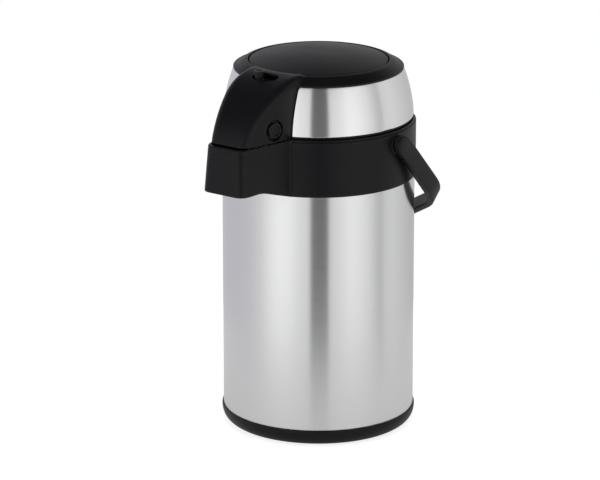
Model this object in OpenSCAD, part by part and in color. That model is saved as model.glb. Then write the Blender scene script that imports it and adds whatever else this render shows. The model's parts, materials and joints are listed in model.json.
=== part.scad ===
// Thermal coffee airpot: a vacuum flask with a pump lid, a spout and a bail handle.
// Millimetres. +Z is up, the origin is on the flask's axis at the floor, and the spout points to -Y.

/* [Body] */
// Radius of the steel shell
body_r = 82; // [81.6:0.1:82.1]
// Height of the collar's lower edge
collar_bottom = 221; // [219:1:224]
// Height of the collar's top lip
collar_top = 270; // [269.6:0.1:270.2]
// Thickness of the sheet steel
sheet = 0.8; // [0.6:0.1:0.9]

/* [Flask] */
// Inner radius of the liner
liner_r = 73; // [70:1:74]
// Inner radius of the neck
neck_r = 33; // [30:1:34]
// Height of the neck's rim
neck_top = 246; // [245.5:0.1:246]

/* [Lid] */
// Height of the steel band's top edge
band_top = 312; // [311:0.5:312]
// Radius of the gap round the pump button
gap_r = 60.3; // [60:0.1:60.5]
// Height of the gap round the pump button
gap_z = 322; // [321.5:0.1:322.5]
// Height of the pump button's crown
crown_z = 329.5; // [328:0.5:332]
// Half-width of the beak where it crosses the steel band
beak_half = 28; // [27.5:0.1:28.2]

/* [Moving parts] */
// How far the lock slider goes
lock_travel = 12; // [8:1:12]
// Radial clearance of a pin in its bore
pin_gap = 0.05; // [0.02:0.01:0.08]

/* [Handle] */
// Height of the handle's pivots
pivot_z = 259; // [257:0.5:259]
// Angle at which the handle rests, from straight down towards the back
rest_angle = 44; // [42:1:60]
// Width of the handle's strap
strap_w = 16; // [14:1:18]
// Radius of the pivot pins
pivot_r = 4; // [3:0.5:5]

/* [Hinge] */
// Distance of the lid's hinge behind the axis
hinge_y = 86; // [85.5:0.5:87]
// Height of the lid's hinge
hinge_z = 271; // [270.5:0.5:271]
// Radius of the hinge pin
hinge_r = 1.5; // [1.5:0.1:2]

/* [Hidden] */
$fn = 96;

eps = 0.01;
black = [0.13, 0.13, 0.14];
steel = [0.80, 0.80, 0.81];
grey = [0.35, 0.35, 0.37];
silicone = [0.75, 0.75, 0.72];

// Collar and spout housing
collar_r = body_r + 1;
wall = 2.2;
shell_in = body_r - sheet;
lip_r = collar_r - 1.3;
lip_z = collar_top - 2;
crease_y = -78;
crease_x = 29;
spout_tip = -129.5;
spout_half = 16.5;
spout_lean = 2.5;
spout_bottom = 231;
spout_round = 5;
cusp_y = -110.5;
deck_z = 249;
deck_t = 2.5;
well_r = 41;

// Base
foot_arc_r = 62;

// Flask
liner_t = 0.6;
liner_bottom = 24;
flask_r = 77.4;
flask_bottom = 17;
shoulder_z = 222;
neck_outer = neck_r + 2.6;

// Liquid path
tube_r = 5;
tube_bore = 3.8;
stopper_top = 264;
pipe_z = 256.9;
nozzle_y = -116;
ball_r = 4.5;
ball_z = neck_top - 6;

// Lid
lid_floor = 267;
lid_rim = 272;
button_r = gap_r - 1;
ring_r = 72.6;
ring_z = band_top + 0.3;
skirt_z = 300;
plate_z = 309;
beak_arc_y = -68.5;
beak_arc_z = 265.2;
beak_arc_r = 58.6;
beak_roof = 321.3;
screw_r = 1.5;

// Release buttons: the beak's side runs from the spout's corner to the crease
side_angle = atan2(crease_x - spout_half, crease_y - spout_tip);
release_y = -94.4;
release_z = 281.4;
release_x = spout_half + (release_y - spout_tip) * tan(side_angle);
release_r = 5;
release_pocket = 7.8;

// Lock slider
lock_y = -74;
lock_x = -lock_travel / 2 - 0.5;
lock_floor = 317;
lock_knob_r = 4.2;
lock_slot_r = 6.4;
lock_slot_half = lock_travel / 2;

// A polygon's outline with its corners rounded: each corner is [x, y, radius]
function unit(v) = v / norm(v);
function corner(a, b, c) = let (
    p = [b[0], b[1]], u = unit([a[0], a[1]] - p), v = unit([c[0], c[1]] - p),
    half = acos(max(-1, min(1, u * v))) / 2, reach = b[2] / tan(half),
    centre = p + unit(u + v) * (b[2] / sin(half)),
    s = p + u * reach - centre, e = p + v * reach - centre,
    a0 = atan2(s[1], s[0]), raw = atan2(e[1], e[0]) - a0,
    sweep = raw > 180 ? raw - 360 : raw < -180 ? raw + 360 : raw)
  b[2] < eps ? [p] : [for (i = [0 : 8]) centre + b[2] * [cos(a0 + sweep * i / 8), sin(a0 + sweep * i / 8)]];
function rounded(pts) = let (n = len(pts))
  [for (i = [0 : n - 1]) each corner(pts[(i + n - 1) % n], pts[i], pts[(i + 1) % n])];
function mirrored(pts) = [for (i = [len(pts) - 1 : -1 : 0]) [-pts[i][0], pts[i][1], pts[i][2]]];

// The steel band's barrel curve: radius at height z
function barrel_r(z) = 80.9 - 8.3 * pow((z - lid_rim) / (band_top - lid_rim), 1.75);

module ring(r_out, r_in, z0, z1) {
  translate([0, 0, z0]) difference() {
    cylinder(r = r_out, h = z1 - z0);
    translate([0, 0, -1]) cylinder(r = r_in, h = z1 - z0 + 2);
  }
}
module disc(r, z0, z1) {
  translate([0, 0, z0]) cylinder(r = r, h = z1 - z0);
}
module along_x(x0, x1, r) {
  translate([x0, 0, 0]) rotate([0, 90, 0]) cylinder(r = r, h = x1 - x0, $fn = 48);
}
module along_y(y0, y1, r) {
  translate([0, y0, 0]) rotate([-90, 0, 0]) cylinder(r = r, h = y1 - y0, $fn = 48);
}
// An outline in the YZ plane, given thickness along X
module side_view(half) {
  rotate([90, 0, 90]) translate([0, 0, -half]) linear_extrude(2 * half) children();
}
module screw(x, y, z0, z1, head_up) {
  translate([x, y, z0]) cylinder(r = screw_r, h = z1 - z0, $fn = 32);
  difference() {
    translate([x, y, head_up ? z1 - 1.6 : z0]) cylinder(r = 2.8, h = 1.6, $fn = 32);
    translate([x - 2, y - 0.4, head_up ? z1 - 0.8 : z0 - 0.2]) cube([4, 0.8, 1]);
    translate([x - 0.4, y - 2, head_up ? z1 - 0.8 : z0 - 0.2]) cube([0.8, 4, 1]);
  }
}

// ---- Base ----
module base_pad() {
  color(grey) ring(66, 58, 0, 2.4);
}
module turntable() {
  color(black) difference() {
    union() {
      disc(69, 2.4, 5);
      disc(9, 2.4, 7.5);
      for (a = [0 : 30 : 330]) rotate([0, 0, a]) translate([8, -0.8, 4.5]) cube([50, 1.6, 1.5]);
    }
    disc(3 + pin_gap, 1, 9);
    disc(7.5, 1, 4);
  }
}
module pivot_screw() {
  color(steel) {
    disc(3, 2.6, 14);
    disc(6.5, 1, 2.6);
  }
}
module pivot_washer() {
  color(steel) ring(6.8, 3.3, 2.7, 3.5);
}
module glide_ring() {
  color(silicone) ring(64.8, 60, 5.4, 8);
}
module bottom_cover() {
  color(black) difference() {
    union() {
      disc(72.6, 8, 10.5);
      disc(12, 8, 15);
    }
    disc(3, 7, 16);
    for (a = [45 : 90 : 315]) rotate([0, 0, a]) translate([68, 0, 7]) cylinder(r = screw_r, h = 9, $fn = 32);
  }
}
module base_ring() {
  color(black) difference() {
    union() {
      rotate_extrude() polygon([
        [72.8, 1.2], for (a = [-60 : 10 : 0]) [foot_arc_r + 21.2 * cos(a), 14 + 14.6 * sin(a)], [83.2, 16.2],
        [82.9, 16.7], [82.15, 16.7], [82.15, 12], [75, 12], [75, 14.9], [72.8, 14.9]]);
      // lugs for the bottom cover's screws
      for (a = [45 : 90 : 315]) rotate([0, 0, a]) translate([64, -4, 10.6]) cube([10, 8, 4.3]);
    }
    for (a = [45 : 90 : 315]) rotate([0, 0, a]) translate([68, 0, 7]) cylinder(r = screw_r, h = 9, $fn = 32);
  }
}
module base_screws() {
  color(steel) for (a = [45 : 90 : 315]) rotate([0, 0, a]) screw(68, 0, 6.3, 14.6, false);
}

// ---- Flask ----
module steel_shell() {
  color(steel) union() {
    ring(body_r, shell_in, 12.2, 246);
    ring(shell_in + eps, 75.2, 12.2, 12.2 + sheet);
  }
}
module flask_outer_wall() {
  color(steel) rotate_extrude() polygon([
    [0, flask_bottom + 1.5], [20, flask_bottom + 1.5], [62, flask_bottom + 1.5],
    for (a = [-90 : 15 : 0]) [flask_r - 14 + 14 * cos(a), flask_bottom + 14 + 14 * sin(a)],
    for (a = [0 : 15 : 75]) [neck_outer + 7 + (flask_r - neck_outer - 7) * cos(a), shoulder_z + 20 * sin(a)],
    [neck_outer, shoulder_z + 20], [neck_outer, neck_top - 1],
    [neck_outer - liner_t, neck_top - 1], [neck_outer - liner_t, shoulder_z + 20 - liner_t],
    for (a = [75 : -15 : 0])
      [neck_outer + 7 + (flask_r - neck_outer - 7 - liner_t) * cos(a), shoulder_z + (20 - liner_t) * sin(a)],
    for (a = [0 : -15 : -90])
      [flask_r - 14 + (14 - liner_t) * cos(a), flask_bottom + 14 + (14 - liner_t) * sin(a)],
    [62, flask_bottom + 1.5 + liner_t], [0, flask_bottom + 1.5 + liner_t]]);
}
module vacuum_seal_cap() {
  color(steel) disc(6, flask_bottom + 0.3, flask_bottom + 1.5);
}
module flask_liner() {
  bend = 12;
  color(steel) rotate_extrude() polygon([
    [0, liner_bottom], [liner_r - bend, liner_bottom],
    for (a = [-75 : 15 : 0])
      [liner_r - bend + (bend + liner_t) * cos(a), liner_bottom + bend + liner_t + (bend + liner_t) * sin(a)],
    for (a = [0 : 15 : 75])
      [neck_r + 8 + (liner_r + liner_t - neck_r - 8) * cos(a), shoulder_z - 4 + (18 + liner_t) * sin(a)],
    [neck_r + liner_t, shoulder_z + 16], [neck_r + liner_t, neck_top - 1],
    [neck_outer + 0.8, neck_top - 1], [neck_outer + 0.8, neck_top],
    [neck_r, neck_top], [neck_r, shoulder_z + 15],
    for (a = [75 : -15 : 0]) [neck_r + 8 + (liner_r - neck_r - 8) * cos(a), shoulder_z - 4 + 18 * sin(a)],
    for (a = [0 : -15 : -75])
      [liner_r - bend + bend * cos(a), liner_bottom + bend + liner_t + bend * sin(a)],
    [liner_r - bend, liner_bottom + liner_t], [0, liner_bottom + liner_t]]);
}
module flask_pad() {
  color(grey) ring(50, 30, 10.5, flask_bottom + 1.4);
}
module neck_gasket() {
  color(silicone) ring(neck_outer + 2, neck_r + 0.6, neck_top, neck_top + 2);
}

// ---- Collar ----
// The spout's plan at height z, grown by d
module spout_plan(z, d) {
  lean = (collar_top - z) / (collar_top - spout_bottom);
  tip = spout_tip - spout_lean * lean - d;
  half = spout_half + spout_lean * lean + d;
  translate([0, 0, z]) linear_extrude(eps) polygon(rounded([
    [half, tip, spout_round + d], [crease_x + d, crease_y - d, 3], [crease_x + d, -60, 0],
    [-crease_x - d, -60, 0], [-crease_x - d, crease_y - d, 3], [-half, tip, spout_round + d]]));
}
module spout_block(d, z0, z1) {
  hull() {
    spout_plan(z0, d);
    spout_plan(z1 - eps, d);
  }
}
// What is cut away under the spout, so that its lower edge flares down to the collar
module under_spout() {
  side_view(40) polygon([
    [-150, 200], [-60, 200], [crease_y + 2, collar_bottom], [crease_y, collar_bottom], [cusp_y, spout_bottom],
    [-150, spout_bottom - 0.6]]);
}
module hinge_lugs() {
  for (x = [-22, 12]) difference() {
    union() {
      translate([x, hinge_y, hinge_z]) along_x(0, 10, 4.5);
      translate([x, collar_r - 3, hinge_z - 11]) cube([10, hinge_y - collar_r + 5.5, 11]);
    }
    translate([x - 1, hinge_y, hinge_z]) along_x(0, 12, hinge_r);
  }
}
module collar() {
  color(black) difference() {
    union() {
      ring(collar_r, body_r + 0.1, collar_bottom, deck_z);
      ring(collar_r, collar_r - wall, deck_z - 2, lip_z);
      ring(lip_r, collar_r - wall, lip_z - eps, collar_top);
      ring(collar_r - 1, well_r, deck_z, deck_z + deck_t);
      ring(well_r + wall, well_r, deck_z - 6, deck_z + deck_t);
      difference() {
        spout_block(0, spout_bottom - 12, collar_top);
        spout_block(-wall, spout_bottom - 14, deck_z - 8);
        spout_block(-wall, deck_z - 8 + wall, collar_top + 4);
        under_spout();
        disc(collar_r - wall, 200, 300);
        disc(body_r + 0.1, 200, deck_z);
      }
      for (s = [-1, 1]) mirror([s < 0 ? 1 : 0, 0, 0])
        translate([0, 0, pivot_z]) along_x(collar_r - 2.5, collar_r + 0.7, 9);
      hinge_lugs();
    }
    // channel for the outlet pipe through the collar's wall
    translate([-6, -100, deck_z + deck_t]) cube([12, 50, 30]);
    translate([0, nozzle_y, 0]) disc(6.2, deck_z - 12, deck_z);
    // seats for the pivot pins
    translate([0, 0, pivot_z]) along_x(-100, 100, pivot_r - 1.5);
    // room for the lid's hinge knuckle
    translate([-11.5, collar_r - 6, hinge_z - 7]) cube([23, 20, 20]);
    for (a = [60 : 60 : 300]) rotate([0, 0, a])
      translate([0, -60, 240]) cylinder(r = screw_r, h = 20, $fn = 32);
  }
}
module collar_screws() {
  color(steel) for (a = [60 : 60 : 300]) rotate([0, 0, a]) screw(0, -60, 241, deck_z + deck_t + 1.6, true);
}
module spout_under_cover() {
  color(black) difference() {
    intersection() {
      spout_block(-wall - 0.1, spout_bottom - 2, deck_z - 9);
      translate([-40, -140, spout_bottom + 1]) cube([80, 140 - body_r - 1.5, 3]);
    }
    translate([0, nozzle_y, 0]) disc(6.2, 200, 260);
    for (x = [-9, 9]) translate([x, -96, 200]) cylinder(r = screw_r, h = 60, $fn = 32);
  }
}
module under_cover_screws() {
  color(steel) for (x = [-9, 9]) screw(x, -96, spout_bottom - 0.6, spout_bottom + 10, false);
}
module handle_pins() {
  color(black) for (s = [-1, 1]) mirror([s < 0 ? 1 : 0, 0, 0]) translate([0, 0, pivot_z]) {
    along_x(collar_r - 6, collar_r - 2.5 + eps, pivot_r - 1.5);
    along_x(collar_r + 0.7, 90.2, pivot_r);
    along_x(collar_r - 2.5, collar_r + 0.7 + eps, pivot_r - 1.5);
    along_x(90.1, 91.6, 6.5);
  }
}
module hinge_pin() {
  color(steel) translate([0, hinge_y, hinge_z]) along_x(-23, 23, hinge_r);
}

// ---- Liquid path ----
module tube_stopper() {
  color(grey) difference() {
    union() {
      disc(neck_r - 0.6, neck_top - 4, neck_top + 2);
      disc(well_r - 0.6, neck_top + 2, neck_top + 6);
      disc(38.4, neck_top + 6, stopper_top - 2);
      disc(14, neck_top + 6, stopper_top);
      translate([0, 0, pipe_z]) along_y(-38.4, 0, 5.8);
    }
    disc(ball_r + 2, neck_top - 5, neck_top + 6);
    disc(tube_bore, neck_top, pipe_z);
    translate([0, 0, pipe_z]) along_y(-40, 0, tube_bore);
    translate([0, 0, pipe_z]) along_y(-40, -28, tube_r);
    for (a = [45 : 45 : 315]) if (a != 180) rotate([0, 0, a])
      translate([0, 22, neck_top - 5]) cylinder(r = 3, h = 30);
  }
}
module stopper_o_ring() {
  color(silicone) ring(neck_r - 0.05, neck_r - 0.6, neck_top - 2.8, neck_top - 1);
}
module ball_cage() {
  color(grey) difference() {
    disc(ball_r + 1.95, ball_z - 9, neck_top + 5.9);
    disc(ball_r + 0.5, ball_z - 3.5, neck_top + 4);
    disc(tube_bore, ball_z - 10, neck_top + 7);
    disc(tube_r + 0.05, ball_z - 10, ball_z - 5);
  }
}
module anti_spill_ball() {
  color(steel) translate([0, 0, ball_z + 1.4]) sphere(r = ball_r, $fn = 48);
}
module dip_tube() {
  color(silicone) difference() {
    disc(tube_r, liner_bottom + 6, ball_z - 5);
    disc(tube_bore, liner_bottom, ball_z);
    for (a = [0, 90]) rotate([0, 0, a]) translate([-8, -1.5, liner_bottom + 5]) cube([16, 3, 5]);
  }
}
module outlet_pipe() {
  color(grey) translate([0, 0, pipe_z]) difference() {
    union() {
      along_y(nozzle_y + 3, -28, tube_r);
      translate([0, nozzle_y, -6]) cylinder(r = 6.6, h = 12.6, $fn = 48);
    }
    along_y(nozzle_y, -20, tube_bore);
    translate([0, nozzle_y, -7]) cylinder(r = tube_bore, h = 10, $fn = 48);
    translate([0, nozzle_y, -7]) cylinder(r = 5.05, h = 5, $fn = 48);
  }
}
module pipe_seal() {
  color(silicone) translate([0, 0, pipe_z]) difference() {
    along_y(-41, -38.5, 5.9);
    along_y(-43, -37, tube_r);
    // a flat that stands on the stopper's flange
    translate([-10, -45, -10]) cube([20, 10, neck_top + 6.05 - pipe_z + 10]);
  }
}
module outlet_nozzle() {
  color(grey) translate([0, nozzle_y, 0]) difference() {
    union() {
      disc(5, 229, pipe_z - 2);
      disc(6, 229, 234);
    }
    disc(tube_bore, 228, pipe_z);
    translate([0, 0, 228.9]) cylinder(r1 = 4.8, r2 = tube_bore, h = 3);
  }
}

// ---- Handle ----
bail_outer = [[91.2, -10, 0], [91, 20, 0], [89.6, 80, 38], [19.5, 133, 55]];
bail_inner = [[17.5, 127.4, 50], [81.6, 79, 33], [84.2, 16, 0], [84.2, -10, 0]];
module bail_handle() {
  color(black) difference() {
    translate([0, 0, pivot_z]) rotate([rest_angle, 0, 0]) difference() {
      rotate([-90, 0, 0]) translate([0, 0, -strap_w / 2]) linear_extrude(strap_w)
        polygon(rounded(concat(bail_outer, mirrored(bail_outer), mirrored(bail_inner), bail_inner)));
      // rounded ends round the pivots
      difference() {
        translate([-100, -10, 0]) cube([200, 20, 12]);
        along_x(-101, 101, strap_w / 2);
      }
      along_x(-120, 120, pivot_r + pin_gap);
      for (x = [89.4, -93.4]) translate([x, 0, 0]) along_x(0, 4, 7);
    }
    // the grip is hollowed to lie round the shell
    disc(body_r + 0.6, 100, collar_bottom);
    disc(collar_r + 0.6, collar_bottom - eps, pivot_z - 6);
  }
}

// ---- Lid ----
// The beak's side profile, grown by d: an arc from the seam up to the roof
module beak_profile(d, z0) {
  polygon([
    for (i = [0 : 16]) let (a = 175 - i * 5.6)
      [beak_arc_y + (beak_arc_r + d) * cos(a), max(z0, beak_arc_z + (beak_arc_r + d - 2.4) * sin(a))],
    [-50, beak_roof + d], [-40, beak_roof + d], [-40, z0]]);
}
module beak_plan(d) {
  polygon(rounded([
    [spout_half + d, spout_tip + 1.2 - d, 6], [beak_half + 0.6 + d, crease_y - d, 10],
    [beak_half + d, -70, 0],
    [beak_half + d, -38, 0], [-beak_half - d, -38, 0], [-beak_half - d, -70, 0],
    [-beak_half - 0.6 - d, crease_y - d, 10], [-spout_half - d, spout_tip + 1.2 - d, 6]]));
}
module beak(d, z0) {
  intersection() {
    side_view(60) beak_profile(d, z0);
    translate([0, 0, 200]) linear_extrude(200) beak_plan(d);
  }
}
// The black ring round the button, as a solid of revolution
module top_ring() {
  rotate_extrude() polygon([
    for (i = [0 : 6]) let (t = i / 6)
      [ring_r - (ring_r - gap_r) * pow(t, 1.15), ring_z + (gap_z - ring_z) * sin(90 * t)],
    [gap_r, skirt_z - 4], [gap_r + 1.8, skirt_z - 4], [gap_r + 1.8, gap_z - 4],
    [barrel_r(band_top) - 2.2, band_top - 3], [barrel_r(band_top - 3) - 1.2, band_top - 3],
    [barrel_r(band_top) - 1.2, ring_z]]);
}
module release_frame(s) {
  mirror([s < 0 ? 1 : 0, 0, 0])
    translate([release_x, release_y, release_z]) rotate([0, 0, -side_angle]) children();
}
module lock_slot(z0, z1, r) {
  translate([0, lock_y, 0]) hull() for (x = [-lock_slot_half, lock_slot_half])
    translate([x, 0, z0]) cylinder(r = r, h = z1 - z0, $fn = 32);
}
module lid_cover() {
  color(black) difference() {
    union() {
      top_ring();
      difference() {
        beak(0, collar_top + 0.6);
        beak(-wall, collar_top - 2);
        disc(gap_r + 1.8, 200, 400);
      }
      // floor under the lock slider and bosses behind the release buttons
      intersection() {
        translate([-16, lock_y - 9, lock_floor - 2]) cube([32, 18, 3]);
        beak(-1, 272);
      }
      for (s = [-1, 1]) release_frame(s) along_x(-9, -0.6, release_pocket + 1.6);
      for (a = [30 : 60 : 330]) rotate([0, 0, a]) translate([0, 68, 0]) disc(3.8, 297.2, band_top);
    }
    disc(gap_r, 200, 400);
    lock_slot(lock_floor, 330, lock_slot_r);
    translate([-13, lock_y - 1.5, lock_floor - 4]) cube([26, 3, 6]);
    for (s = [-1, 1]) release_frame(s) {
      along_x(-3, 4, release_pocket);
      along_x(-10, 4, release_r + 0.4);
    }
    for (a = [30 : 60 : 330]) rotate([0, 0, a]) translate([0, 68, 0]) disc(screw_r, 290, 309);
  }
}
module steel_band() {
  color(steel) difference() {
    rotate_extrude() polygon([
      for (i = [0 : 10]) let (z = lid_rim + (band_top - lid_rim) * i / 10) [barrel_r(z), z],
      for (i = [10 : -1 : 0]) let (z = lid_rim + (band_top - lid_rim) * i / 10) [barrel_r(z) - sheet, z]]);
    translate([-beak_half - 0.1, -100, 200]) cube([2 * beak_half + 0.2, 100, 200]);
    translate([-11.5, 60, lid_rim - 2]) cube([23, 40, 6]);
  }
}
module lid_base() {
  color(black) difference() {
    union() {
      ring(78.6, 10, lid_floor, lid_floor + 2.4);
      ring(78.6, 76.4, lid_floor, 282);
      ring(80, 76.4, collar_top + 0.7, lid_rim - 0.05);
      for (a = [30 : 60 : 330]) rotate([0, 0, a]) translate([0, 68, lid_floor]) difference() {
        cylinder(r = 4, h = 30, $fn = 32);
        translate([0, 0, -1]) cylinder(r = screw_r, h = 40, $fn = 32);
      }
      translate([0, hinge_y, hinge_z]) along_x(-11, 11, 4.5);
      translate([-11, 76, collar_top + 0.7]) cube([22, hinge_y - 76, 4]);
    }
    translate([0, hinge_y, hinge_z]) along_x(-12, 12, hinge_r + pin_gap);
    for (a = [30 : 60 : 330]) rotate([0, 0, a])
      translate([0, 68, 260]) cylinder(r = screw_r, h = 50, $fn = 32);
    intersection() {
      beak(0.1, 240);
      translate([-50, -150, 200]) cube([100, 98, 200]);
    }
    disc(10, 260, 280);
  }
}
module lid_gasket() {
  color(silicone) rotate_extrude() polygon([
    [33, stopper_top + 0.4], [36, stopper_top - 0.8], [37, stopper_top - 0.8], [37.6, stopper_top + 0.6],
    [37.6, lid_floor], [32, lid_floor], [32, stopper_top + 0.4]]);
}
module lid_screws() {
  color(steel) for (a = [30 : 60 : 330]) rotate([0, 0, a]) screw(0, 68, lid_floor - 1.6, 290, false);
}
module bellows_clamp() {
  color(grey) difference() {
    ring(49, 11, lid_floor + 2.4, lid_floor + 4.4);
    for (a = [0 : 90 : 270]) rotate([0, 0, a]) translate([47, 0, 260]) cylinder(r = 1, h = 20, $fn = 32);
  }
}
module bellows() {
  folds = 6;
  z0 = lid_floor + 4.4;
  pitch = (plate_z - z0) / folds;
  root = 39;
  crest = 45;
  t = 1.2;
  color(silicone) rotate_extrude() polygon([
    for (i = [0 : folds - 1]) each [[root, z0 + pitch * i], [crest, z0 + pitch * (i + 0.5)]],
    [root, plate_z], [root - t, plate_z],
    for (i = [folds - 1 : -1 : 0]) each
      [[crest - t, z0 + pitch * (i + 0.5)], [root - t, z0 + pitch * i]]]);
}
module pump_spring() {
  z0 = lid_floor + 5.4;
  turns = 6;
  steps = turns * 12;
  wire = 0.9;
  coil = 24;
  rise = (plate_z - 1 - z0) / steps;
  points = [for (i = [0 : steps]) for (j = [0 : 7])
    [(coil + wire * cos(j * 45)) * cos(i * 30), (coil + wire * cos(j * 45)) * sin(i * 30),
      z0 + rise * i + wire * sin(j * 45)]];
  walls = [for (i = [0 : steps - 1]) for (j = [0 : 7])
    [(i + 1) * 8 + j, (i + 1) * 8 + (j + 1) % 8, i * 8 + (j + 1) % 8, i * 8 + j]];
  ends = [[for (j = [0 : 7]) j], [for (j = [7 : -1 : 0]) steps * 8 + j]];
  color(steel) polyhedron(points, concat(walls, ends));
}
module bellows_plate() {
  color(grey) difference() {
    union() {
      disc(46, plate_z, plate_z + 2.5);
      ring(12, 9, plate_z + 2.5, gap_z - 3.5);
    }
    disc(3, plate_z - 1, plate_z + 5);
  }
}
module air_valve() {
  color(silicone) {
    disc(7, plate_z - 0.8, plate_z);
    disc(2.6, plate_z - eps, plate_z + 2.4);
  }
}
function dome_z(r) = gap_z - 0.4 + (crown_z - gap_z + 0.4) * (1 - pow(r / button_r, 2));
module pump_button() {
  color(black) rotate_extrude() polygon([
    [0, crown_z], for (i = [1 : 9]) let (r = (button_r - 1) * i / 9) [r, dome_z(r)],
    [button_r - 0.3, gap_z - 0.9], [button_r, gap_z - 1.6], [button_r, skirt_z], [button_r - 1.8, skirt_z],
    [button_r - 1.8, gap_z - 3.6], for (r = [button_r - 4 : -8 : 14]) [r, dome_z(r) - 2.4],
    [12, dome_z(12) - 2.4], [12, gap_z - 3.5], [0, gap_z - 3.5]]);
}
module lock_slider() {
  color(black) translate([lock_x, lock_y, 0]) {
    disc(lock_knob_r, lock_floor + 0.4, beak_roof + 1.2);
    difference() {
      disc(lock_knob_r + 0.8, lock_floor + 0.4, lock_floor + 1.4);
      translate([-10, 1.2, lock_floor]) cube([20, 10, 5]);
      translate([-10, -11.2, lock_floor]) cube([20, 10, 5]);
    }
    translate([-1.2, -1, lock_floor - 5]) cube([2.4, 2, 6]);
  }
}
module release_button(s) {
  color(black) release_frame(s) difference() {
    union() {
      along_x(-11, 1.2, release_r);
      translate([-13, -4, -17]) cube([2.2, 8, 21]);
    }
    // a dished end with one rib across it
    difference() {
      along_x(0, 3, release_r - 1.2);
      rotate([35, 0, 0]) translate([-1, -0.7, -6]) cube([4, 1.4, 12]);
    }
    along_x(-14, -4, 3.2);
  }
}
module release_button_right() {
  release_button(1);
}
module release_button_left() {
  release_button(-1);
}
module release_spring(s) {
  color(steel) release_frame(s) rotate([0, -90, 0]) translate([0, 0, 4.2])
    for (i = [0 : 4]) translate([0, 0, i * 2.2])
      rotate_extrude() translate([2.2, 0.6]) circle(r = 0.4, $fn = 24);
}
module release_spring_right() {
  release_spring(1);
}
module release_spring_left() {
  release_spring(-1);
}

base_pad();
turntable();
pivot_screw();
pivot_washer();
glide_ring();
bottom_cover();
base_ring();
base_screws();
steel_shell();
flask_outer_wall();
vacuum_seal_cap();
flask_liner();
flask_pad();
neck_gasket();
collar();
collar_screws();
spout_under_cover();
under_cover_screws();
handle_pins();
hinge_pin();
dip_tube();
tube_stopper();
stopper_o_ring();
ball_cage();
anti_spill_ball();
outlet_pipe();
pipe_seal();
outlet_nozzle();
bail_handle();
lid_cover();
steel_band();
lid_base();
lid_gasket();
lid_screws();
bellows_clamp();
bellows();
pump_spring();
bellows_plate();
air_valve();
pump_button();
lock_slider();
release_button_right();
release_button_left();
release_spring_right();
release_spring_left();
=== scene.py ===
import json
import math
from contextlib import contextmanager

import bmesh
import bpy
import numpy as np
from mathutils import Matrix, Vector


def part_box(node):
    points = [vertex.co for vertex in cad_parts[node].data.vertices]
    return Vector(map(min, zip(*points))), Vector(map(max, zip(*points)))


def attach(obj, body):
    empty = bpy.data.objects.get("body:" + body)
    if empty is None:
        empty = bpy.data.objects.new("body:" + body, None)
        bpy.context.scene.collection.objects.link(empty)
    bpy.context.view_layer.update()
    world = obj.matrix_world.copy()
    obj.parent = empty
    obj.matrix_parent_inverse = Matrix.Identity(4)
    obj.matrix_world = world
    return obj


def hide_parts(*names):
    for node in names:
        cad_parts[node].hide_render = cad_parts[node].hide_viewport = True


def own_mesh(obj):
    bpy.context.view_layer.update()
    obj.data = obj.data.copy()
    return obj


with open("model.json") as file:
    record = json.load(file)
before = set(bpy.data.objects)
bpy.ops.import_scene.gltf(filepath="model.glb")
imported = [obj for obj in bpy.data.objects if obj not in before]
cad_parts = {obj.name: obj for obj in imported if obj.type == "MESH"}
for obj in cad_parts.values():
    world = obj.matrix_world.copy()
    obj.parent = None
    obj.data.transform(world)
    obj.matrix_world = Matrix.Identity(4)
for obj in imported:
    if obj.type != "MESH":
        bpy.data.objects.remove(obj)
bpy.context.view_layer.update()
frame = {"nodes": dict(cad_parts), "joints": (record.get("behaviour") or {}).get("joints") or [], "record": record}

MM = 0.001


# ---- Sizes in millimetres, from the frame's boxes where a node gives them ----
def low(node):
    return [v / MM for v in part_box(node)[0]]


def high(node):
    return [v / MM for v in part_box(node)[1]]


def joint_place(name):
    joint = next(j for j in frame["joints"] if j["name"] == name)
    return [v / MM for v in joint["pos_m"]]


shell_r = high("steel_shell")[0]
shell_low = low("steel_shell")[2]
shell_high = high("steel_shell")[2]
collar_r = shell_r + 1
collar_low = low("collar")[2]
collar_high = 270.0
lip_step = 1.3
wall = 2.2
seam_gap = 1.3

crease = (29.0, -78.0)
tip_y = -131.8
tip_half = 19.0
tip_lean = 2.5
spout_low = 231.0
cusp_y = -110.5
deck_z = 249.0
nozzle_y = -116

band_low = low("steel_band")[2]
band_high = high("steel_band")[2] + 1.8
band_foot_r = high("steel_band")[0]
beak_half = 28.0
band_gap = 0.15

gap_r = 59.9
gap_z = 320.3
ring_r = 72.0
ring_z = band_high + 0.3
button_r = high("pump_button")[0]
crown_z = high("pump_button")[2] - 2.0
roof_z = 321.4
arc_y = -62.0
arc_z = 262.0
arc_ry = 67.5
arc_rz = 59.4
arc_power = 1.7
beak_tip_half = 17.9

handle_z = joint_place("handle_swing")[2]
handle_lean = math.radians(44)
strap_w = 16.0
pin_x = 89.75
hinge_y, hinge_z = joint_place("lid_open")[1:]
hinge_half = 11.0
hinge_gap = 11.5
screw_circle = 68.0

release_place = (25.0, -94.4, 281.4)
release_out = Vector((0.9718, -0.2359, 0.0)).normalized()
release_r = 6.2
pocket_r = 8.5
pocket_deep = 3.0

lock_y = -74.0
lock_x = (low("lock_slider")[0] + high("lock_slider")[0]) / 2
lock_floor = 315.6
slot_half = 6.0
slot_r = 6.4


# ---- Outlines and meshes ----
def arc(cx, cy, r, start, stop, steps):
    """Points of an arc, with its angles in degrees."""
    turns = [math.radians(start + (stop - start) * i / steps) for i in range(steps + 1)]
    return [(cx + r * math.cos(a), cy + r * math.sin(a)) for a in turns]


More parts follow.
